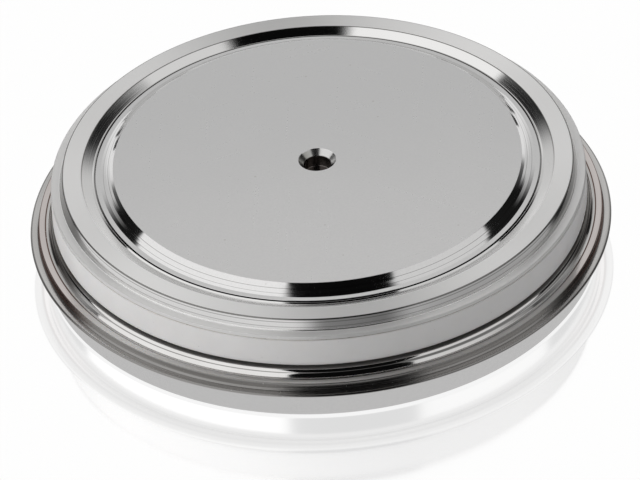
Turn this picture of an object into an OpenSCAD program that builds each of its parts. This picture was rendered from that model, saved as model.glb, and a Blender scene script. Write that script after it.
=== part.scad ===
// Flat press-pack rectifier diode: a ceramic-to-metal capsule that is clamped
// between two heat sinks. Millimetres, +Z up, the anode face lies on Z = 0 and the
// device axis is the Z axis. Every piece is a solid of revolution about that axis.

/* [Capsule] */
// Height from the anode contact face to the cathode contact face
overall_h = 14; // [13.8:0.1:16]
// Diameter over the welded rim, the widest place
rim_d = 75; // [74.6:0.1:78]

/* [Cathode pole piece] */
// Diameter of the flat cathode contact face
cathode_face_d = 52.6; // [46:0.2:55]
// Diameter at the foot of the bevel round the contact face
cathode_bevel_d = 56; // [55.4:0.1:56.6]
// Drop of the bevel from the contact face to its foot
cathode_bevel_h = 1.05; // [0.6:0.05:1.1]

/* [Cathode membrane] */
// Thickness of the formed sheet
membrane_t = 0.5; // [0.4:0.05:0.55]
// Drop from the contact face to the flat ring of the membrane
ring_drop = 0.83; // [0.6:0.01:0.95]
// Drop from the contact face to the ledge on the ceramic
ledge_drop = 2.45; // [2.3:0.05:2.7]
// Drop from the contact face to the valley between the membrane's bead and its cone
valley_drop = 1.35; // [1.28:0.01:1.42]

/* [Ceramic insulator] */
// Outer diameter of the alumina ring
ceramic_d = 69; // [68.8:0.1:69.2]
// Bore of the alumina ring
ceramic_bore_d = 62.6; // [62.2:0.1:64]

/* [Weld flanges] */
// Thickness of each weld flange
flange_t = 0.45; // [0.3:0.05:0.5]
// Thickness of the case weld flange at its rim
brim_t = 1; // [0.8:0.05:1.1]
// Diameter of the flange that is brazed under the ceramic
case_flange_d = 72.76; // [72.5:0.02:73]

/* [Anode pole piece] */
// Diameter of the copper base
anode_d = 71.6; // [71:0.1:72]
// Height of the base up to its weld flange
anode_h = 3.95; // [3.8:0.05:4.1]
// Diameter of the platform that carries the silicon stack
platform_d = 56; // [55.2:0.2:56]
// Chamfer along both edges of the base
anode_chamfer = 0.3; // [0.1:0.05:0.4]

/* [Centring holes] */
// Diameter of the centring hole in each contact face
hole_d = 3.5; // [3:0.1:4]
// Depth of each centring hole from the contact face
hole_depth = 2.4; // [1.6:0.1:2.6]
// Diameter of the countersink at the mouth
countersink_d = 4.9; // [4.4:0.1:5.4]

/* [Silicon stack] */
// Diameter of the silicon wafer
wafer_d = 54; // [53.4:0.1:54.4]
// Thickness of the silicon wafer
wafer_t = 0.4; // [0.3:0.05:0.4]
// Thickness of the molybdenum disc on the anode side
anode_moly_t = 2; // [1.8:0.05:2]

/* [Hidden] */
$fn = 180;

// colours of the plated, brazed and fired surfaces
nickel = [0.73, 0.73, 0.72];
bright_nickel = [0.80, 0.80, 0.79];
alumina = [0.90, 0.89, 0.88];
braze_metal = [0.55, 0.47, 0.42];
silver = [0.85, 0.85, 0.83];
molybdenum = [0.50, 0.51, 0.53];

braze_t = 0.1;                                  // every braze layer
foil_t = 0.15;                                  // both silver foils

// levels, from the anode face up
base_flange_z = anode_h + braze_t;              // underside of the base weld flange
rim_z = base_flange_z + flange_t;               // top of the base weld flange
case_flange_z = rim_z + brim_t;                 // top of the case weld flange
ceramic_z0 = case_flange_z + 1.08;              // foot of the ceramic
lip_z = ceramic_z0 - braze_t;                   // top of the lip under the ceramic
ring_z = overall_h - ring_drop;                 // flat ring of the membrane
ledge_z = overall_h - ledge_drop;               // top of the ledge on the ceramic
ceramic_z1 = ledge_z - membrane_t - braze_t;    // top of the ceramic
valley_z = overall_h - valley_drop;             // valley beside the membrane's bead
bead_z = valley_z + 0.17;                       // top of the bead at the inner edge

// the silicon stack, from the platform up
platform_z = 5;
moly1_z = platform_z + foil_t;
wafer_z = moly1_z + anode_moly_t;
moly2_z = wafer_z + wafer_t;
moly2_t = 0.5;
foil2_z = moly2_z + moly2_t;
pole_z = foil2_z + foil_t;                      // underside of the cathode pole piece

// radii of the membrane
land_r = cathode_bevel_d / 2 + 0.62;            // edge of the land below the bevel
seat_r = land_r + 0.18;                         // inner edge of the membrane
valley_r = land_r + 0.46;                       // valley between the bead and the cone
cone_r = 30.42;                                 // where the cone meets the flat ring
pole_r = land_r + 0.58;                         // pole piece below its shoulder
wall_r = 32.92;                                 // top of the wall above the ledge
wall_a = 12.5;                                  // draft of that wall
ledge_r = ceramic_d / 2 - 0.05;                 // edge of the ledge
shoulder_z = valley_z - membrane_t - braze_t;   // shoulder that carries the membrane

// radii of the weld flanges
neck_r = 34.85;                                 // radius that the bend above the neck would reach

// a rectangle of the section, from its corner (r0, z0) to (r1, z1)
module bar(r0, r1, z0, z1) translate([r0, z0]) square([r1 - r0, z1 - z0]);

// a quarter of a ring in the section: a sheet bent through 90 degrees round (r, z)
module bend(r, z, inner, outer, sr, sz) intersection() {
    translate([r, z]) difference() {
        circle(outer, $fn = 96);
        circle(inner, $fn = 96);
    }
    translate([sr < 0 ? r - outer : r, sz < 0 ? z - outer : z]) square(outer);
}

// turns a section about the device axis
module turned() rotate_extrude() children();

// a centring hole that opens upwards at height z, with its countersink
module centring_hole(z) {
    sink = (countersink_d - hole_d) / 2;
    translate([0, 0, z - hole_depth]) cylinder(d = hole_d, h = hole_depth + 1);
    translate([0, 0, z - sink]) cylinder(d1 = hole_d, d2 = countersink_d, h = sink);
}

// --- cathode side -------------------------------------------------------

// plated copper disc: contact face, bevel, shoulder for the braze, contact boss below
module cathode_pole_piece() color(nickel) difference() {
    face_r = cathode_face_d / 2;
    bevel_r = cathode_bevel_d / 2;
    w = bevel_r - face_r;
    turned() {
        // the bevel is hollow, steepest beside the face; a narrow land follows at its foot
        polygon([[0, pole_z], [25.6, pole_z], [25.6, pole_z + 0.7], [25.9, pole_z + 1],
                 [pole_r, pole_z + 1], [pole_r, shoulder_z], [land_r, shoulder_z],
                 [land_r, overall_h - cathode_bevel_h - 0.09],
                 [bevel_r, overall_h - cathode_bevel_h],
                 [face_r + 0.765 * w, overall_h - 0.815 * cathode_bevel_h],
                 [face_r + 0.53 * w, overall_h - 0.602 * cathode_bevel_h],
                 [face_r + 0.235 * w, overall_h - 0.29 * cathode_bevel_h],
                 [face_r, overall_h], [0, overall_h]]);
    }
    centring_hole(overall_h);
}

// braze between the pole piece's shoulder and the membrane
module cathode_braze_ring() color(braze_metal) turned()
    bar(seat_r, valley_r + 0.02, shoulder_z, shoulder_z + braze_t);

// formed ring: bead at the inner edge, cone, flat ring, wall and ledge, all one sheet
module cathode_membrane() {
    t = membrane_t;
    slope = atan2(ring_z - valley_z, cone_r - valley_r);
    k = t * tan(slope / 2);                     // shift of the bends on the underside
    corner = 0.12;                              // broken corner at the top of the wall
    fillet = 0.25;                              // inside radius at the ledge
    ca = cos(wall_a);
    sa = sin(wall_a);
    ta = tan(wall_a);
    fz = ledge_z + fillet;
    fr = wall_r + (ring_z - fz) * ta + fillet / ca;
    color(bright_nickel) turned() {
        polygon([[seat_r, valley_z - t], [valley_r + k, valley_z - t], [cone_r + k, ring_z - t],
                 [wall_r + t * ta - t / ca, ring_z - t],
                 [fr - (fillet + t) * ca, fz - (fillet + t) * sa], [fr - fillet * ca, fz - fillet * sa],
                 [wall_r + corner * ta, ring_z - corner], [wall_r - corner, ring_z], [cone_r, ring_z],
                 [valley_r, valley_z], [seat_r, bead_z]]);
        intersection() {
            translate([fr, fz]) difference() {
                circle(fillet + t, $fn = 96);
                circle(fillet, $fn = 96);
            }
            polygon([[fr, fz], [fr - fillet * ca, fz - fillet * sa], [fr - (fillet + t) * ca, fz - (fillet + t) * sa],
                     [fr - 2 * ca, fz - 2 * sa], [fr - 2, fz - 2], [fr, fz - 2]]);
        }
        bar(fr, ledge_r, ledge_z - t, ledge_z);
    }
}

// --- insulator and its seals --------------------------------------------

module top_seal_braze() color(braze_metal) turned()
    bar(wall_r + 0.1, ledge_r, ceramic_z1, ceramic_z1 + braze_t);

// alumina ring, its edges broken
module ceramic_insulator() {
    c = 0.2;
    r = ceramic_d / 2;
    // the foot is relieved outside the braze, so that a narrow gap is left over the lip
    color(alumina) turned() polygon([
        [ceramic_bore_d / 2 + c, ceramic_z0], [r - 1, ceramic_z0], [r - 0.28, ceramic_z0 + 0.33],
        [r - 0.08, ceramic_z0 + 0.55], [r, ceramic_z0 + 0.9], [r, ceramic_z1 - c / 2],
        [ceramic_d / 2 - c / 2, ceramic_z1], [ceramic_bore_d / 2 + c, ceramic_z1],
        [ceramic_bore_d / 2, ceramic_z1 - c], [ceramic_bore_d / 2, ceramic_z0 + c]]);
}

module bottom_seal_braze() color(braze_metal) turned()
    bar(32.2, ceramic_d / 2 - 1.05, lip_z, ceramic_z0);

// --- weld flanges -------------------------------------------------------

// Z-section ring: lip under the ceramic, a bend and a fillet that meet in the neck, and a
// brim that falls gently to the weld, with a pressed line and a weld bead at its foot
module case_weld_flange() {
    t = flange_t;
    z = case_flange_z;
    corner = 0.05 + t;                          // outside radius above the neck
    fillet = 0.75;                              // outside radius below the neck
    na = 16;                                    // slope of the neck, where the two arcs meet
    ea = 37;                                    // slope where the fillet ends
    br = neck_r - corner;                       // centres of the bend and of the fillet
    bz = lip_z - corner;
    fr = br + (corner + fillet) * cos(na);
    fz = bz + (corner + fillet) * sin(na);
    bend_arc = [for (i = [0:6]) let (a = 90 - (90 - na) * i / 6) [br + corner * cos(a), bz + corner * sin(a)]];
    fillet_arc = [for (i = [1:4]) let (a = na + (ea - na) * i / 4) [fr - fillet * cos(a), fz - fillet * sin(a)]];
    end_in = [fr - (fillet + t) * cos(ea), fz - (fillet + t) * sin(ea)];
    mid_in = [fr - (fillet + t) * cos((na + ea) / 2), fz - (fillet + t) * sin((na + ea) / 2)];
    neck_in = [br + (corner - t) * cos(na), lip_z - t];
    rim_r = case_flange_d / 2;
    knee_z = z + 0.085;                         // where the straight run meets the brim
    knee_r = fr - fillet * cos(ea) + (fz - fillet * sin(ea) - knee_z) * tan(ea);
    line_r = 35.5;                              // the pressed line
    line_z = knee_z + (z - knee_z) * (line_r - knee_r) / (rim_r - knee_r);
    color(bright_nickel) turned() difference() {
        polygon(concat([[32.1, lip_z - t], [32.1, lip_z]], bend_arc, fillet_arc,
                       [[knee_r, knee_z], [rim_r, z], [rim_r, rim_z + 0.25], [rim_r + 0.25, rim_z],
                        [knee_r - 0.1, rim_z], end_in, mid_in, neck_in]));
        translate([line_r, line_z]) circle(0.07, $fn = 24);
    }
}

// flat ring, brazed on the base, with a rolled outer edge
module base_weld_flange() color(bright_nickel) turned() {
    bar(32, rim_d / 2 - flange_t / 2, base_flange_z, rim_z);
    translate([rim_d / 2 - flange_t / 2, base_flange_z + flange_t / 2])
        circle(flange_t / 2, $fn = 48);
}

module base_braze_washer() color(braze_metal) turned()
    bar(32, anode_d / 2 - anode_chamfer, anode_h, anode_h + braze_t);

// --- anode side ---------------------------------------------------------

// plated copper base with the platform for the silicon stack
module anode_pole_piece() color(nickel) difference() {
    turned() polygon([
        [0, 0], [anode_d / 2 - anode_chamfer, 0], [anode_d / 2, anode_chamfer],
        [anode_d / 2, anode_h - anode_chamfer], [anode_d / 2 - anode_chamfer, anode_h],
        [platform_d / 2, anode_h], [platform_d / 2, platform_z - 0.3],
        [platform_d / 2 - 0.3, platform_z], [0, platform_z]]);
    mirror([0, 0, 1]) centring_hole(0);
}

// --- silicon stack ------------------------------------------------------

module anode_silver_foil() color(silver)
    translate([0, 0, platform_z]) cylinder(r = 26.8, h = foil_t);

module anode_molybdenum_disc() color(molybdenum)
    translate([0, 0, moly1_z]) cylinder(r = 27.6, h = anode_moly_t);

// the wafer's edge is ground to a bevel
module silicon_wafer() color([0.32, 0.33, 0.36])
    translate([0, 0, wafer_z]) cylinder(r1 = wafer_d / 2, r2 = wafer_d / 2 - 0.5, h = wafer_t);

// rubber bead over the bevel, resting on the rim of the molybdenum disc
module edge_passivation_ring() color([0.75, 0.30, 0.22]) turned() polygon([
    [wafer_d / 2, wafer_z], [27.6, wafer_z], [27.6, wafer_z + 0.3], [27.2, moly2_z + 0.25],
    [26.1, moly2_z + 0.25], [25.8, moly2_z], [wafer_d / 2 - 0.5, moly2_z]]);

module cathode_molybdenum_disc() color(molybdenum)
    translate([0, 0, moly2_z]) cylinder(r = 25.6, h = moly2_t);

module cathode_silver_foil() color(silver)
    translate([0, 0, foil2_z]) cylinder(r = 25.4, h = foil_t);

// plastic ring that holds the stack on the axis
module centring_ring() color([0.93, 0.92, 0.86]) turned() {
    bar(platform_d / 2 + 0.05, 30.9, anode_h, 6.9);
}

cathode_pole_piece();
cathode_braze_ring();
cathode_membrane();
top_seal_braze();
ceramic_insulator();
bottom_seal_braze();
case_weld_flange();
base_weld_flange();
base_braze_washer();
anode_pole_piece();
anode_silver_foil();
anode_molybdenum_disc();
silicon_wafer();
edge_passivation_ring();
cathode_molybdenum_disc();
cathode_silver_foil();
centring_ring();
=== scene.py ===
import math

import bpy
from mathutils import Matrix, Vector


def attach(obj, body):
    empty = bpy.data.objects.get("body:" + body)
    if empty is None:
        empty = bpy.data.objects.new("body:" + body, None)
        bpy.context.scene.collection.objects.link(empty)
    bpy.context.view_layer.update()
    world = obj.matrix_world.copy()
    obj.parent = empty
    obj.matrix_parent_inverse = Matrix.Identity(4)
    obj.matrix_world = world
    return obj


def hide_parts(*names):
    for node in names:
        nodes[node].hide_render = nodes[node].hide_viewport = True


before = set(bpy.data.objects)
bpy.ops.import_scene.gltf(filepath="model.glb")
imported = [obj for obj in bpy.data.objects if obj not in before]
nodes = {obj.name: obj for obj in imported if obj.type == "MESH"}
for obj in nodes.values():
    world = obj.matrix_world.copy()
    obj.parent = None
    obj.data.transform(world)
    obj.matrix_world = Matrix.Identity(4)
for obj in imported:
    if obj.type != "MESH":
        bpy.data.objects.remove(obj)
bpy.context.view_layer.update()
scene = bpy.context.scene

MM = 0.001


# ---------------------------------------------------------------- turned meshes
def section(points, closed):
    """Turns a list of (r, z, corner radius) into points with outward normals. The solid lies to the left of the path."""
    n = len(points)
    out = []

    def direction(p, q):
        d = math.hypot(q[0] - p[0], q[1] - p[1])
        return (q[0] - p[0]) / d, (q[1] - p[1]) / d, d

    for i, (r, z, f) in enumerate(points):
        first, last = i == 0, i == n - 1
        if not closed and (first or last):
            d = direction(points[0], points[1]) if first else direction(points[-2], points[-1])
            out.append((r, z, d[1], -d[0]))
            continue
        a = direction(points[i - 1], points[i])
        b = direction(points[i], points[(i + 1) % n])
        turn = math.atan2(a[0] * b[1] - a[1] * b[0], a[0] * b[0] + a[1] * b[1])
        if f <= 0 or abs(turn) < 1e-4:
            nx, nz = a[1] + b[1], -a[0] - b[0]
            m = math.hypot(nx, nz)
            out.append((r, z, nx / m, nz / m))
            continue
        f = min(f, 0.49 * min(a[2], b[2]) / math.tan(abs(turn) / 2)) if f < 0.2 else f
        cut = f * math.tan(abs(turn) / 2)
        s = 1 if turn > 0 else -1
        cx = r - a[0] * cut - a[1] * f * s
        cz = z - a[1] * cut + a[0] * f * s
        steps = max(3, int(math.ceil(math.degrees(abs(turn)) / (6 if f > 0.2 else 15))))
        for k in range(steps + 1):
            t = turn * k / steps
            dx, dz = a[0] * math.cos(t) - a[1] * math.sin(t), a[0] * math.sin(t) + a[1] * math.cos(t)
            out.append((cx + dz * f * s, cz - dx * f * s, dz, -dx))
    return out


def lathe(name, points, closed, node, segments=360):
    """A turned piece: its section is spun round Z with exact normals, and it stands for a CAD node."""
    ring = section(points, closed)
    verts, norms, faces, rows = [], [], [], []
    for r, z, nr, nz in ring:
        if r < 1e-6:
            rows.append([len(verts)])
            verts.append((0, 0, z * MM))
            norms.append((0, 0, 1 if nz > 0 else -1))
            continue
        row = []
        for j in range(segments):
            t = 2 * math.pi * j / segments
            c, s = math.cos(t), math.sin(t)
            row.append(len(verts))
            verts.append((r * c * MM, r * s * MM, z * MM))
            norms.append((nr * c, nr * s, nz))
        rows.append(row)
    pairs = list(zip(rows, rows[1:] + ([rows[0]] if closed else [])))
    if not closed:
        pairs = pairs[: len(rows) - 1]
    for lower, upper in pairs:
        for j in range(segments):
            k = (j + 1) % segments
            if len(lower) == 1 and len(upper) == 1:
                continue
            if len(lower) == 1:
                faces.append((lower[0], upper[k], upper[j]))
            elif len(upper) == 1:
                faces.append((lower[j], lower[k], upper[0]))
            else:
                faces.append((lower[j], lower[k], upper[k], upper[j]))
    mesh = bpy.data.meshes.new(name)
    mesh.from_pydata(verts, [], faces)
    mesh.polygons.foreach_set("use_smooth", [True] * len(faces))
    mesh.update()
    mesh.normals_split_custom_set_from_vertices(norms)
    obj = bpy.data.objects.new(name, mesh)
    scene.collection.objects.link(obj)
    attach(obj, "root")
    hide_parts(node)
    return obj


E = 0.04  # broken edge on sheet and braze
pole_top = lathe(
    "cathode_pole_piece_turned",
    [(0, 8.2, 0), (25.6, 8.2, 0.1), (25.6, 8.9, 0.05), (25.9, 9.2, 0.05), (29.2, 9.2, 0.1), (29.2, 12.05, 0.05),
     (28.62, 12.05, 0.02), (28.62, 12.86, 0.05), (28.0, 12.95, 0.08), (27.6, 13.144, 0.3), (27.2, 13.368, 0.3),
     (26.7, 13.695, 0.3), (26.3, 14.0, 0.05),
     (2.45, 14.0, 0.08), (1.75, 13.3, 0.06), (1.75, 11.75, 0.12), (0, 11.6, 0)],
    False, "cathode_pole_piece", 384)
ring_braze = lathe(
    "cathode_braze_ring_fillet",
    [(28.80, 12.05, 0.02), (29.1, 12.05, 0.02), (29.08, 12.15, 0.02), (28.80, 12.15, 0.02)],
    True, "cathode_braze_ring", 360)
membrane = lathe(
    "cathode_membrane_sheet",
    [(28.80, 12.15, 0.03), (29.173, 12.15, 0.3), (30.513, 12.67, 0.2), (32.519, 12.67, 0.1), (32.878, 11.05, 0.7),
     (34.45, 11.05, 0.06), (34.45, 11.55, 0.12), (33.279, 11.55, 0.25), (32.92, 13.17, 0.14), (30.42, 13.17, 0.12),
     (29.08, 12.65, 0.06), (28.80, 12.82, 0.05)],
    True, "cathode_membrane", 384)
seal_top = lathe(
    "top_seal_braze_line",
    [(33.1, 10.95, E), (34.45, 10.95, E), (34.42, 11.05, E), (33.1, 11.05, E)],
    True, "top_seal_braze", 360)
ceramic = lathe(
    "ceramic_insulator_ring",
    [(31.3, 6.58, 0.08), (33.5, 6.58, 0.06), (34.22, 6.91, 0.12), (34.42, 7.13, 0.3), (34.5, 7.48, 0.8),
     (34.5, 10.85, 0.12), (34.4, 10.95, 0.08), (31.3, 10.95, 0.08)],
    True, "ceramic_insulator", 384)
seal_bottom = lathe(
    "bottom_seal_braze_line",
    [(32.2, 6.48, E), (33.45, 6.48, E), (33.45, 6.58, E), (32.2, 6.58, E)],
    True, "bottom_seal_braze", 360)
case_flange = lathe(
    "case_weld_flange_sheet",
    [(32.1, 6.03, 0.05), (34.3875, 6.03, 0.045), (34.4591, 5.7845, 1.19), (34.5900, 5.6100, 0), (35.071, 4.50, 0.05),
     (36.63, 4.50, 0.03), (36.38, 4.75, 0.10), (36.38, 5.50, 0.08), (35.57, 5.556, 0.02), (35.54, 5.507, 0.02),
     (35.46, 5.512, 0.02), (35.43, 5.565, 0.02), (35.1713, 5.585, 0.06), (34.8682, 5.9891, 0.749), (34.7250, 6.48, 0.498),
     (32.1, 6.48, 0.05)],
    True, "case_weld_flange", 384)
base_flange = lathe(
    "base_weld_flange_sheet",
    [(32.0, 4.05, 0.05), (37.498, 4.05, 0.22), (37.498, 4.50, 0.22), (32.0, 4.50, 0.05)],
    True, "base_weld_flange", 384)
base_braze = lathe(
    "base_braze_washer_line",
    [(32.0, 3.95, E), (35.5, 3.95, E), (35.46, 4.05, E), (32.0, 4.05, E)],
    True, "base_braze_washer", 360)
pole_bottom = lathe(
    "anode_pole_piece_turned",
    [(0, 2.4, 0), (1.75, 2.25, 0.12), (1.75, 0.7, 0.1), (2.45, 0, 0.1), (35.5, 0, 0.1), (35.8, 0.3, 0.12),
     (35.8, 3.65, 0.12), (35.5, 3.95, 0.1), (28.0, 3.95, 0.1), (28.0, 4.7, 0.05), (27.7, 5.0, 0.1), (0, 5.0, 0)],
    False, "anode_pole_piece", 384)


# ---------------------------------------------------------------- node helpers
class Graph:
    """Small helper that writes shader node graphs as expressions. A socket or a number may be passed for any value."""

    def __init__(self, tree):
        self.t = tree
        self.c = {}

    def node(self, kind, **props):
        n = self.t.nodes.new(kind)
        for k, v in props.items():
            setattr(n, k, v)
        return n

    def put(self, socket, value):
        if isinstance(value, bpy.types.NodeSocket):
            self.t.links.new(value, socket)
        else:
            socket.default_value = value

    def math(self, op, *args, clamp=False):
        n = self.node("ShaderNodeMath", operation=op, use_clamp=clamp)
        for s, a in zip(n.inputs, args):
            self.put(s, a)
        return n.outputs[0]

    def add(self, a, b):
        return self.math("ADD", a, b)

    def sub(self, a, b):
        return self.math("SUBTRACT", a, b)

    def mul(self, a, b):
        return self.math("MULTIPLY", a, b)

    def div(self, a, b):
        return self.math("DIVIDE", a, b)

    def low(self, a, b):
        return self.math("MINIMUM", a, b)

    def high(self, a, b):
        return self.math("MAXIMUM", a, b)

    def one_minus(self, a):
        return self.math("SUBTRACT", 1.0, a)

    def step(self, x, a, b, lo=0.0, hi=1.0):
        """Smooth step: lo at x <= a, hi at x >= b."""
        n = self.node("ShaderNodeMapRange", interpolation_type="SMOOTHSTEP")
        self.put(n.inputs[0], x)
        n.inputs[1].default_value, n.inputs[2].default_value = a, b
        n.inputs[3].default_value, n.inputs[4].default_value = lo, hi
        return n.outputs[0]

    def linear(self, x, a, b, lo=0.0, hi=1.0):
        n = self.node("ShaderNodeMapRange", interpolation_type="LINEAR", clamp=True)
        self.put(n.inputs[0], x)
        n.inputs[1].default_value, n.inputs[2].default_value = a, b
        n.inputs[3].default_value, n.inputs[4].default_value = lo, hi
        return n.outputs[0]

    def band(self, x, a, b, soft):
        """1 between a and b, with edges soft wide."""
        return self.mul(self.step(x, a - soft / 2, a + soft / 2), self.step(x, b - soft / 2, b + soft / 2, 1.0, 0.0))

    def mix(self, f, a, b):
        """Mixes two numbers."""
        n = self.node("ShaderNodeMix", data_type="FLOAT")
        self.put(n.inputs[0], f)
        self.put(n.inputs[2], a)
        self.put(n.inputs[3], b)
        return n.outputs[0]

    def blend(self, f, a, b, mode="MIX"):
        """Mixes two colours."""
        n = self.node("ShaderNodeMix", data_type="RGBA", blend_type=mode)
        self.put(n.inputs[0], f)
        self.put(n.inputs[6], a if isinstance(a, bpy.types.NodeSocket) else (*a, 1.0))
        self.put(n.inputs[7], b if isinstance(b, bpy.types.NodeSocket) else (*b, 1.0))
        return n.outputs[2]

    def combine(self, x, y, z):
        n = self.node("ShaderNodeCombineXYZ")
        for s, a in zip(n.inputs, (x, y, z)):
            self.put(s, a)
        return n.outputs[0]

    def noise(self, vector, scale, detail=2.0, rough=0.5, distortion=0.0):
        n = self.node("ShaderNodeTexNoise")
        self.put(n.inputs["Vector"], vector)
        n.inputs["Scale"].default_value = scale
        n.inputs["Detail"].default_value = detail
        n.inputs["Roughness"].default_value = rough
        n.inputs["Distortion"].default_value = distortion
        return n.outputs[0]

    def cells(self, vector, scale, feature="F1", randomness=1.0):
        n = self.node("ShaderNodeTexVoronoi", feature=feature)
        self.put(n.inputs["Vector"], vector)
        n.inputs["Scale"].default_value = scale
        n.inputs["Randomness"].default_value = randomness
        return n.outputs["Distance"]

    # the piece's own coordinates, in millimetres
    def place(self):
        if "xyz" not in self.c:
            co = self.node("ShaderNodeTexCoord")
            v = self.node("ShaderNodeVectorMath", operation="SCALE")
            self.t.links.new(co.outputs["Object"], v.inputs[0])
            v.inputs["Scale"].default_value = 1000.0
            s = self.node("ShaderNodeSeparateXYZ")
            self.t.links.new(v.outputs[0], s.inputs[0])
            x, y, z = s.outputs
            r = self.math("SQRT", self.add(self.mul(x, x), self.mul(y, y)))
            safe = self.high(r, 0.001)
            self.c["xyz"] = (v.outputs[0], x, y, z, r, self.div(x, safe), self.div(y, safe))
        return self.c["xyz"]

    def streaks(self, around, across, detail=2.0, rough=0.55):
        """Noise drawn out along the circumference: around is cells per radian, across is cells per mm."""
        _, _, _, z, r, cx, cy = self.place()
        v = self.combine(self.mul(cx, around), self.mul(cy, around), self.mul(self.add(r, z), across))
        return self.noise(v, 1.0, detail, rough)

    def bump(self, height, strength, distance_mm, normal=None):
        n = self.node("ShaderNodeBump")
        n.inputs["Strength"].default_value = strength
        n.inputs["Distance"].default_value = distance_mm * MM
        self.put(n.inputs["Height"], height)
        if normal is not None:
            self.put(n.inputs["Normal"], normal)
        return n.outputs[0]


def material(name):
    m = bpy.data.materials.new(name)
    m.use_nodes = True
    t = m.node_tree
    t.nodes.clear()
    out = t.nodes.new("ShaderNodeOutputMaterial")
    bsdf = t.nodes.new("ShaderNodeBsdfPrincipled")
    t.links.new(bsdf.outputs[0], out.inputs[0])
    return m, Graph(t), bsdf


def finish_on(obj, mat):
    obj.data.materials.clear()
    obj.data.materials.append(mat)


# ---------------------------------------------------------------- materials
def nickel_pole(name, face_z, sign):
    """Nickel plated copper pole piece: lapped contact face, turned and polished sides. sign is +1 where the face looks up."""
    m, g, b = material(name)
    v, x, y, z, r, cx, cy = g.place()
    on_face = g.step(g.mul(g.sub(z, face_z), sign), -0.03, -0.01)
    lap = g.noise(v, 3.2, 3.0, 0.6)
    cloud = g.noise(v, 0.075, 2.0, 0.5)
    fine = g.noise(v, 9.0, 2.0, 0.6)
    turn = g.streaks(1.2, 9.0, 3.0, 0.65)
    broad = g.streaks(1.6, 0.9, 2.0, 0.5)
    # hairlines left by lapping and handling, in three directions
    lines = None
    for k, (ang, density) in enumerate(((0.35, 0.16), (1.5, 0.13), (2.6, 0.12))):
        c, s = math.cos(ang), math.sin(ang)
        along = g.add(g.mul(x, c), g.mul(y, s))
        across = g.sub(g.mul(y, c), g.mul(x, s))
        vv = g.combine(g.mul(along, 0.06), g.mul(across, 5.5), 3.7 * k)
        one = g.step(g.noise(vv, 1.0, 1.0, 0.4), 0.69 - density * 0.2, 0.76)
        lines = one if lines is None else g.high(lines, one)
    specks = g.step(g.cells(v, 0.42), 0.045, 0.075, 1.0, 0.0)
    specks = g.mul(specks, g.step(g.noise(v, 0.11, 1.0, 0.5), 0.5, 0.62))
    # painted light: the face is lighter towards the front and darker towards the back, broken up by a cloud noise
    painted_front_light = g.step(g.add(y, g.mul(g.sub(cloud, 0.5), 12.0)), -24.0, 16.0, 0.0, 1.0)
    base = g.blend(painted_front_light, (0.770, 0.766, 0.764), (0.690, 0.690, 0.690))
    base = g.blend(g.mul(g.step(lap, 0.3, 0.7), 0.25), base, (0.66, 0.66, 0.665))
    base = g.blend(g.mul(specks, 0.35), base, (0.40, 0.37, 0.34))
    # painted shade: dark lines in the creases of the bevel round the face and in the crevice at its foot
    crease_shade = g.high(g.mul(g.band(r, 26.96, 27.03, 0.05), 0.8), g.mul(g.band(r, 27.55, 27.62, 0.05), 0.6))
    foot = g.mul(g.step(r, 28.57, 28.61), g.step(g.mul(z, sign), 12.80, 12.88, 1.0, 0.0))
    crease_shade = g.mul(g.high(crease_shade, foot), g.mul(g.one_minus(on_face), 1.0 if sign > 0 else 0.0))
    base = g.blend(g.mul(crease_shade, 0.62), base, (0.10, 0.095, 0.09))
    # centring hole: olive oxide on the countersink, darker on its left side as painted shade; the bore nearly black,
    # brown oxide with painted shade in the recess
    sink = g.mul(g.step(r, 2.36, 2.44, 1.0, 0.0), g.one_minus(on_face))
    bore = g.step(r, 1.72, 1.84, 1.0, 0.0)
    base = g.blend(g.mul(sink, g.step(cx, -0.9, 0.1, 0.62, 0.12)), base, (0.16, 0.155, 0.12))
    base = g.blend(g.mul(bore, 0.85), base, (0.10, 0.080, 0.072))
    g.put(b.inputs["Base Color"], base)
    b.inputs["Metallic"].default_value = 1.0
    face_rough = g.add(0.33, g.mul(g.sub(lap, 0.5), 0.10))
    face_rough = g.sub(face_rough, g.mul(lines, 0.05))
    side_rough = g.add(0.065, g.mul(g.sub(turn, 0.5), 0.06))
    side_rough = g.add(side_rough, g.mul(g.step(r, 28.62, 28.70), 0.10))
    side_rough = g.add(side_rough, g.mul(sink, 0.16))
    g.put(b.inputs["Roughness"], g.mix(on_face, side_rough, face_rough))
    h_face = g.add(g.mul(fine, 0.5), g.mul(lines, -0.35))
    h_side = g.add(g.mul(turn, 0.45), g.mul(broad, 0.5))
    n1 = g.bump(g.mix(on_face, h_side, h_face), 0.16, 0.02)
    g.put(b.inputs["Normal"], n1)
    return m


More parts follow.
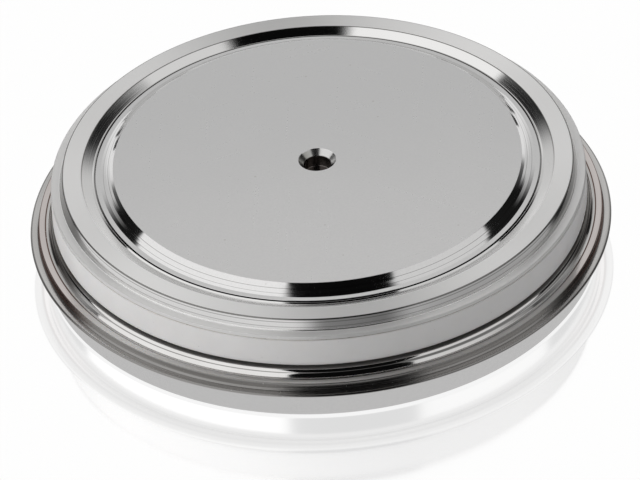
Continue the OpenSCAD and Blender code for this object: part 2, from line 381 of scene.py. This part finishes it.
def sheet_metal(name):
    """Nickel plated sheet, drawn and spun: polished cone and bends, satin flat ring, matt ledge."""
    m, g, b = material(name)
    v, x, y, z, r, cx, cy = g.place()
    grain = g.streaks(1.4, 8.0, 3.0, 0.6)
    broad = g.streaks(1.3, 0.8, 2.0, 0.5)
    fine = g.noise(v, 6.0, 2.0, 0.6)
    cloud = g.noise(v, 0.12, 2.0, 0.5)
    ledge = g.mul(g.step(r, 33.22, 33.34), g.step(z, 11.60, 11.70, 1.0, 0.0))
    flat = g.mul(g.step(z, 13.10, 13.16), g.step(r, 30.36, 30.48))
    wall = g.mul(g.mul(g.step(z, 12.98, 13.10, 1.0, 0.0), g.step(r, 32.6, 32.8)), g.one_minus(ledge))
    cone = g.mul(g.step(r, 29.10, 29.18), g.step(r, 30.36, 30.46, 1.0, 0.0))
    base = g.blend(g.step(cloud, 0.35, 0.65), (0.735, 0.732, 0.728), (0.775, 0.771, 0.765))
    # painted shade: dark line along the outer corner. Faint drawing lines down the wall, sheared edge of the ledge
    corner = g.mul(g.step(r, 32.76, 32.82), g.step(z, 13.00, 13.06))
    marks = g.high(g.band(z, 12.68, 12.80, 0.08), g.mul(g.band(z, 12.02, 12.14, 0.08), 0.9))
    marks = g.mul(g.mul(marks, g.band(r, 32.85, 33.3, 0.05)), 0.45)
    sheared = g.mul(g.step(r, 34.25, 34.38), 0.12)
    # painted shade: dark line at the cone's outer edge, stronger towards the back, and in the crevice by the bead on
    # the back half
    crease_shade = g.mul(g.mul(g.band(r, 30.36, 30.50, 0.05), g.step(z, 13.08, 13.12)), g.mul(g.step(cy, -0.35, 0.25), 0.9))
    bead_shade = g.mul(g.band(r, 28.70, 28.96, 0.05), g.mul(g.step(cy, 0.0, 0.5), 0.95))
    crease_shade = g.high(crease_shade, bead_shade)
    # gathers the painted shade lines at the corner, cone edge and bead crevice with the drawing marks and the sheared
    # ledge edge
    marks_and_shade = g.high(g.high(g.mul(corner, 0.85), crease_shade), g.high(marks, sheared))
    base = g.blend(g.mul(flat, 0.8), base, (0.835, 0.832, 0.828))
    # painted highlight: the flat ring lighter towards its left and right sides
    base = g.blend(g.mul(flat, g.step(g.math("ABSOLUTE", cx), 0.35, 0.80, 0.0, 0.75)), base, (0.97, 0.966, 0.96))
    base = g.blend(g.mul(g.high(wall, cone), 0.6), base, (0.84, 0.837, 0.832))
    base = g.blend(ledge, base, (0.90, 0.895, 0.89))
    # painted reflection: the wall darkened at its far left and right ends
    wall_end_reflection = g.mul(wall, g.high(g.mul(g.step(cx, 0.86, 0.92), g.step(z, 11.95, 12.25)), g.step(cx, -0.96, -0.90, 1.0, 0.0)))
    base = g.blend(g.high(marks_and_shade, g.mul(wall_end_reflection, 0.7)), base, (0.12, 0.115, 0.11))
    chips = g.step(g.cells(g.combine(g.mul(cx, 40.0), g.mul(cy, 40.0), g.mul(z, 1.5)), 1.0), 0.16, 0.22, 1.0, 0.0)
    chips = g.mul(chips, g.mul(g.step(r, 34.32, 34.40), g.mul(g.band(cx, -0.40, 0.10, 0.05), g.step(cy, -0.6, -0.5, 1.0, 0.0))))
    base = g.blend(chips, base, (0.86, 0.86, 0.85))
    g.put(b.inputs["Base Color"], base)
    # the ledge is blasted and matt, the rest is bare polished plating
    g.put(b.inputs["Metallic"], g.sub(1.0, g.mul(ledge, 0.55)))
    rough = g.add(0.055, g.mul(g.sub(grain, 0.5), 0.05))
    rough = g.add(rough, g.mul(flat, 0.30))
    rough = g.add(rough, g.add(g.mul(wall, 0.05), g.mul(cone, g.step(cy, -0.15, 0.15, 0.15, -0.005))))
    rough = g.add(rough, g.mul(ledge, 0.32))
    g.put(b.inputs["Roughness"], rough)
    g.put(b.inputs["Anisotropic"], g.mul(flat, 0.85))
    b.inputs["Anisotropic Rotation"].default_value = 0.25
    tan = g.node("ShaderNodeTangent", direction_type="RADIAL", axis="Z")
    g.put(b.inputs["Tangent"], tan.outputs[0])
    n1 = g.bump(g.add(g.mul(grain, 0.5), g.add(g.mul(broad, 0.5), g.mul(fine, 0.15))), 0.15, 0.02)
    g.put(b.inputs["Normal"], n1)
    return m


def flange_metal(name):
    """Plated weld flanges: polished neck, darker tarnished brims, a little heat tint beside the pressed line."""
    m, g, b = material(name)
    v, x, y, z, r, cx, cy = g.place()
    grain = g.streaks(1.6, 7.0, 3.0, 0.6)
    broad = g.streaks(1.4, 1.1, 2.0, 0.5)
    fine = g.noise(v, 5.0, 3.0, 0.6)
    cloud = g.noise(v, 0.15, 2.0, 0.5)
    specks = g.step(g.cells(v, 1.3), 0.06, 0.11, 1.0, 0.0)
    specks = g.mul(specks, g.step(g.noise(v, 0.16, 1.0, 0.5), 0.5, 0.6))
    low = g.step(z, 5.58, 5.62, 1.0, 0.0)
    sides = g.step(g.math("ABSOLUTE", cx), 0.80, 0.94)
    tint = g.mul(g.high(g.band(r, 35.42, 35.58, 0.05), g.band(r, 36.30, 36.50, 0.05)), sides)
    base = g.blend(g.step(cloud, 0.35, 0.65), (0.73, 0.72, 0.71), (0.77, 0.765, 0.755))
    tarnish = g.blend(g.step(broad, 0.35, 0.65), (0.56, 0.55, 0.54), (0.70, 0.69, 0.68))
    base = g.blend(low, base, tarnish)
    rim_under = g.mul(g.step(r, 37.3, 37.45), g.step(z, 4.14, 4.26, 1.0, 0.0))
    base = g.blend(rim_under, base, (0.78, 0.775, 0.77))
    # painted shade: dark lines along the rim's top edge, round the step and in the small groove of the brim
    rim_line = g.mul(g.step(r, 37.22, 37.32), g.step(z, 4.26, 4.36))
    step_line = g.high(g.band(r, 36.27, 36.61, 0.06), g.band(r, 35.43, 35.57, 0.04))
    base = g.blend(g.mul(g.high(rim_line, step_line), 0.68), base, (0.12, 0.115, 0.11))
    base = g.blend(g.mul(tint, 0.8), base, (0.17, 0.075, 0.05))
    base = g.blend(g.mul(g.mul(g.band(r, 35.62, 36.28, 0.08), sides), 0.4), base, (0.82, 0.70, 0.67))
    # painted shade: the lip darkened in the gap under the ceramic
    gap_shade = g.mul(g.step(z, 6.37, 6.41), g.step(r, 34.50, 34.60, 1.0, 0.0))
    base = g.blend(gap_shade, base, (0.34, 0.33, 0.325))
    # painted reflection: the neck darkened at its far left and right
    neck_end_reflection = g.mul(g.step(g.math("ABSOLUTE", cx), 0.88, 0.94), g.step(z, 5.62, 5.70))
    base = g.blend(g.mul(neck_end_reflection, 0.85), base, (0.12, 0.11, 0.10))
    # drawing line round the neck
    base = g.blend(g.mul(g.band(z, 6.04, 6.17, 0.06), g.mul(g.step(r, 34.6, 34.7), 0.6)), base, (0.16, 0.15, 0.145))
    base = g.blend(g.mul(specks, 0.6), base, (0.75, 0.75, 0.74))
    g.put(b.inputs["Base Color"], base)
    b.inputs["Metallic"].default_value = 1.0
    rough = g.add(0.06, g.mul(g.sub(grain, 0.5), 0.05))
    rough = g.add(rough, g.mul(low, 0.05))
    rough = g.add(rough, g.mul(g.step(r, 36.26, 36.34), 0.08))
    rough = g.add(rough, g.add(g.mul(specks, 0.2), g.mul(gap_shade, 0.35)))
    g.put(b.inputs["Roughness"], rough)
    n1 = g.bump(g.add(g.mul(grain, 0.6), g.add(g.mul(broad, 0.6), g.mul(fine, 0.2))), 0.22, 0.02)
    g.put(b.inputs["Normal"], n1)
    return m


def alumina_body(name):
    m, g, b = material(name)
    v, x, y, z, r, cx, cy = g.place()
    cloud = g.noise(v, 0.22, 3.0, 0.55)
    grain = g.noise(v, 4.0, 3.0, 0.6)
    pits = g.step(g.cells(v, 1.1), 0.05, 0.10, 1.0, 0.0)
    pits = g.mul(pits, g.step(g.noise(v, 0.3, 1.0, 0.5), 0.52, 0.62))
    base = g.blend(g.step(cloud, 0.3, 0.7), (0.925, 0.915, 0.910), (0.960, 0.950, 0.945))
    base = g.blend(g.mul(pits, 0.35), base, (0.45, 0.42, 0.40))
    # darker foot inside the gap: metallised layer, and painted shade in the gap under the overhang
    base = g.blend(g.mul(g.step(z, 6.73, 6.85, 1.0, 0.0), 0.85), base, (0.46, 0.45, 0.44))
    g.put(b.inputs["Base Color"], base)
    g.put(b.inputs["Roughness"], g.add(0.42, g.mul(g.sub(grain, 0.5), 0.14)))
    b.inputs["IOR"].default_value = 1.6
    b.inputs["Coat Weight"].default_value = 0.25
    b.inputs["Coat Roughness"].default_value = 0.25
    b.inputs["Subsurface Weight"].default_value = 0.12
    b.inputs["Subsurface Radius"].default_value = (0.0006, 0.0005, 0.0004)
    g.put(b.inputs["Normal"], g.bump(g.add(grain, g.mul(pits, -1.2)), 0.15, 0.02))
    return m


def braze_metal(name):
    m, g, b = material(name)
    v, x, y, z, r, cx, cy = g.place()
    flow = g.noise(v, 1.2, 3.0, 0.6, 0.6)
    grain = g.noise(v, 7.0, 2.0, 0.6)
    g.put(b.inputs["Base Color"], g.blend(g.step(flow, 0.3, 0.7), (0.50, 0.475, 0.44), (0.62, 0.59, 0.55)))
    b.inputs["Metallic"].default_value = 1.0
    g.put(b.inputs["Roughness"], g.add(0.32, g.mul(g.sub(flow, 0.5), 0.3)))
    g.put(b.inputs["Normal"], g.bump(g.add(g.mul(flow, 1.0), g.mul(grain, 0.3)), 0.4, 0.04))
    return m


def inner_metal(name, dark, light, rough, across):
    """Foils, molybdenum and silicon discs inside the housing."""
    m, g, b = material(name)
    v, x, y, z, r, cx, cy = g.place()
    turn = g.streaks(2.5, across, 3.0, 0.6)
    cloud = g.noise(v, 0.2, 2.0, 0.5)
    g.put(b.inputs["Base Color"], g.blend(g.step(cloud, 0.3, 0.7), dark, light))
    b.inputs["Metallic"].default_value = 1.0
    g.put(b.inputs["Roughness"], g.add(rough, g.mul(g.sub(turn, 0.5), 0.15)))
    g.put(b.inputs["Normal"], g.bump(turn, 0.2, 0.02))
    return m


def inner_polymer(name, dark, light, rough):
    m, g, b = material(name)
    v, x, y, z, r, cx, cy = g.place()
    grain = g.noise(v, 3.0, 3.0, 0.6)
    cloud = g.noise(v, 0.25, 2.0, 0.5)
    g.put(b.inputs["Base Color"], g.blend(g.step(cloud, 0.3, 0.7), dark, light))
    g.put(b.inputs["Roughness"], g.add(rough, g.mul(g.sub(grain, 0.5), 0.2)))
    g.put(b.inputs["Normal"], g.bump(grain, 0.25, 0.03))
    return m


mat_pole_top = nickel_pole("plated_copper_finish", 14.0, 1.0)
mat_pole_bottom = nickel_pole("plated_base_finish", 0.0, -1.0)
mat_membrane = sheet_metal("membrane_sheet_finish")
mat_flange = flange_metal("flange_sheet_finish")
mat_alumina = alumina_body("alumina_finish")
mat_braze = braze_metal("braze_alloy_finish")

finish_on(pole_top, mat_pole_top)
finish_on(pole_bottom, mat_pole_bottom)
finish_on(membrane, mat_membrane)
finish_on(case_flange, mat_flange)
finish_on(base_flange, mat_flange)
finish_on(ceramic, mat_alumina)
for o in (ring_braze, seal_top, seal_bottom, base_braze):
    finish_on(o, mat_braze)

silver = inner_metal("silver_foil_finish", (0.82, 0.81, 0.79), (0.90, 0.89, 0.87), 0.25, 4.0)
moly = inner_metal("molybdenum_finish", (0.47, 0.46, 0.46), (0.55, 0.54, 0.53), 0.30, 6.0)
silicon = inner_metal("silicon_finish", (0.22, 0.23, 0.26), (0.30, 0.31, 0.34), 0.12, 2.0)
rubber = inner_polymer("silicone_rubber_finish", (0.62, 0.30, 0.16), (0.70, 0.36, 0.20), 0.45)
plastic = inner_polymer("ring_plastic_finish", (0.80, 0.79, 0.75), (0.86, 0.85, 0.81), 0.40)
for node_name, mat in (
    ("anode_silver_foil", silver), ("cathode_silver_foil", silver),
    ("anode_molybdenum_disc", moly), ("cathode_molybdenum_disc", moly),
    ("silicon_wafer", silicon), ("edge_passivation_ring", rubber), ("centring_ring", plastic),
):
    finish_on(nodes[node_name], mat)

# ---------------------------------------------------------------- floor
floor_mesh = bpy.data.meshes.new("floor")
S = 3.0
floor_mesh.from_pydata([(-S, -S, -0.00004), (S, -S, -0.00004), (S, S, -0.00004), (-S, S, -0.00004)], [], [(0, 1, 2, 3)])
floor = bpy.data.objects.new("floor", floor_mesh)
scene.collection.objects.link(floor)
fm = bpy.data.materials.new("floor_finish")
fm.use_nodes = True
ft = fm.node_tree
ft.nodes.clear()
fg = Graph(ft)
fo = fg.node("ShaderNodeOutputMaterial")
fpos = fg.node("ShaderNodeTexCoord")
fsep = fg.node("ShaderNodeSeparateXYZ")
ft.links.new(fpos.outputs["Object"], fsep.inputs[0])
fx, fy, fz = fsep.outputs
fr = fg.high(fg.math("SQRT", fg.add(fg.mul(fx, fx), fg.mul(fy, fy))), 0.0001)
# seen by the camera: white acrylic that mirrors the object faintly
sheen = fg.node("ShaderNodeBsdfGlossy")
fg.put(sheen.inputs["Roughness"], fg.step(fr, 0.036, 0.075, 0.06, 0.22))
sheen.inputs["Color"].default_value = (0.97, 0.97, 0.97, 1)
white = fg.node("ShaderNodeEmission")
white.inputs[0].default_value = (1, 1, 1, 1)
white.inputs[1].default_value = 1.24
seen = fg.node("ShaderNodeMixShader")
seen.inputs[0].default_value = 0.42
ft.links.new(white.outputs[0], seen.inputs[1])
ft.links.new(sheen.outputs[0], seen.inputs[2])
# what it throws back on the object: even close by; further out bright to the left, dim to the right,
# dark behind the object and where the camera stands
side_ways = fg.step(fg.div(fx, fr), -0.35, 0.75, 0.78, 0.38)
side_ways = fg.mul(side_ways, fg.step(fg.add(fy, fg.mul(fx, 0.08)), -0.002, 0.006, 1.0, 0.10))
camera_side = fg.mul(fg.band(fg.div(fx, fr), -0.10, 0.42, 0.20), fg.step(fy, -0.02, 0.0, 1.0, 0.0))
side_ways = fg.mul(side_ways, fg.sub(1.0, fg.mul(camera_side, 0.68)))
glow = fg.mix(fg.step(fr, 0.041, 0.050), 0.64, side_ways)
thrown = fg.node("ShaderNodeEmission")
thrown.inputs[0].default_value = (1.0, 0.997, 0.995, 1)
fg.put(thrown.inputs[1], glow)
path = fg.node("ShaderNodeLightPath")
both = fg.node("ShaderNodeMixShader")
ft.links.new(path.outputs["Is Camera Ray"], both.inputs[0])
ft.links.new(thrown.outputs[0], both.inputs[1])
ft.links.new(seen.outputs[0], both.inputs[2])
clear = fg.node("ShaderNodeBsdfTransparent")
side = fg.node("ShaderNodeNewGeometry")
two = fg.node("ShaderNodeMixShader")
ft.links.new(side.outputs["Backfacing"], two.inputs[0])
ft.links.new(both.outputs[0], two.inputs[1])
ft.links.new(clear.outputs[0], two.inputs[2])
ft.links.new(two.outputs[0], fo.inputs[0])
floor_mesh.materials.append(fm)

# ---------------------------------------------------------------- studio light
world = bpy.data.worlds.new("studio")
scene.world = world
world.use_nodes = True
wt = world.node_tree
wt.nodes.clear()
w = Graph(wt)
wo = w.node("ShaderNodeOutputWorld")
bg = w.node("ShaderNodeBackground")
tc = w.node("ShaderNodeTexCoord")
sep = w.node("ShaderNodeSeparateXYZ")
wt.links.new(tc.outputs["Generated"], sep.inputs[0])
dx, dy, dz = sep.outputs
# the ceiling plane: u to the right, f to the front, both over the height
up = w.high(dz, 0.03)
u = w.div(dx, up)
f = w.mul(w.div(dy, up), -1.0)
ax = w.math("ABSOLUTE", dx)

# behind the object: a pale sweep that dims upwards, with black flats beside it
sky = w.step(dz, 0.10, 0.34, 0.98, 0.67)
sky = w.mix(w.step(w.sub(w.sub(ax, w.mul(dy, 0.88)), w.mul(w.sub(dz, 0.30), 0.55)), -0.02, 0.06), sky, w.step(dz, 0.02, 0.42, 0.42, 0.008))
# black flats also fill the corners under the boxes
sky = w.mix(w.mul(w.step(ax, 0.37, 0.43), w.step(dz, 0.40, 0.60)), sky, 0.01)
# two soft boxes overhead, the left one larger and brighter
strip_r = w.add(w.add(0.27, w.mul(f, 0.22)), w.mul(w.high(f, 0.0), 0.254))
strip_l = w.sub(-0.14, w.mul(f, 0.20))
box_r = w.mul(w.step(w.sub(u, strip_r), -0.02, 0.03), w.step(w.sub(f, w.mul(u, 0.24)), -0.665, -0.605))
box_l = w.mul(w.step(w.sub(strip_l, u), -0.02, 0.03), w.step(f, -0.70, -0.64))
sky = w.mix(box_r, sky, w.step(dz, 0.30, 0.50, 0.20, 0.76))
sky = w.mix(box_l, sky, w.step(dz, 0.02, 0.20, 0.95, 1.02))
# the dark gap between them, where the camera stands
gap = w.mul(w.step(w.sub(u, strip_r), -0.02, 0.03, 1.0, 0.0), w.step(w.sub(strip_l, u), -0.02, 0.03, 1.0, 0.0))
gap = w.mul(gap, w.step(f, -0.66, -0.60))
sky = w.mix(gap, sky, 0.003)
wt.links.new(sky, bg.inputs["Strength"])
bg.inputs["Color"].default_value = (1.0, 0.997, 0.992, 1.0)
plain = w.node("ShaderNodeBackground")
plain.inputs["Color"].default_value = (1, 1, 1, 1)
plain.inputs["Strength"].default_value = 1.0
lp = w.node("ShaderNodeLightPath")
ws = w.node("ShaderNodeMixShader")
wt.links.new(lp.outputs["Is Camera Ray"], ws.inputs[0])
wt.links.new(bg.outputs[0], ws.inputs[1])
wt.links.new(plain.outputs[0], ws.inputs[2])
wt.links.new(ws.outputs[0], wo.inputs[0])

# ---------------------------------------------------------------- camera
ELEVATION, ROLL = math.radians(36.7), math.radians(3.4)
PX_PER_MM = 7.78
DISTANCE = 1.6
back_dir = Vector((0, -math.cos(ELEVATION), math.sin(ELEVATION)))
right0 = Vector((1, 0, 0))
up0 = Vector((0, math.sin(ELEVATION), math.cos(ELEVATION)))
cam_right = right0 * math.cos(ROLL) - up0 * math.sin(ROLL)
cam_up = up0 * math.cos(ROLL) + right0 * math.sin(ROLL)
top = Vector((0, 0, 14 * MM))
target = top - cam_right * ((317.2 - 320) / PX_PER_MM * MM) - cam_up * ((240 - 159.5) / PX_PER_MM * MM)
cam_data = bpy.data.cameras.new("camera")
cam_data.sensor_width = 36.0
cam_data.lens = 36.0 * DISTANCE / (640 / PX_PER_MM * MM)
cam_data.clip_start, cam_data.clip_end = 0.05, 50.0
cam = bpy.data.objects.new("camera", cam_data)
scene.collection.objects.link(cam)
rot = Matrix((cam_right, cam_up, back_dir)).transposed()
cam.matrix_world = Matrix.Translation(target + back_dir * DISTANCE) @ rot.to_4x4()
scene.camera = cam

scene.view_settings.view_transform = "Standard"
scene.view_settings.look = "None"
scene.view_settings.exposure = 0.0
scene.view_settings.gamma = 1.0
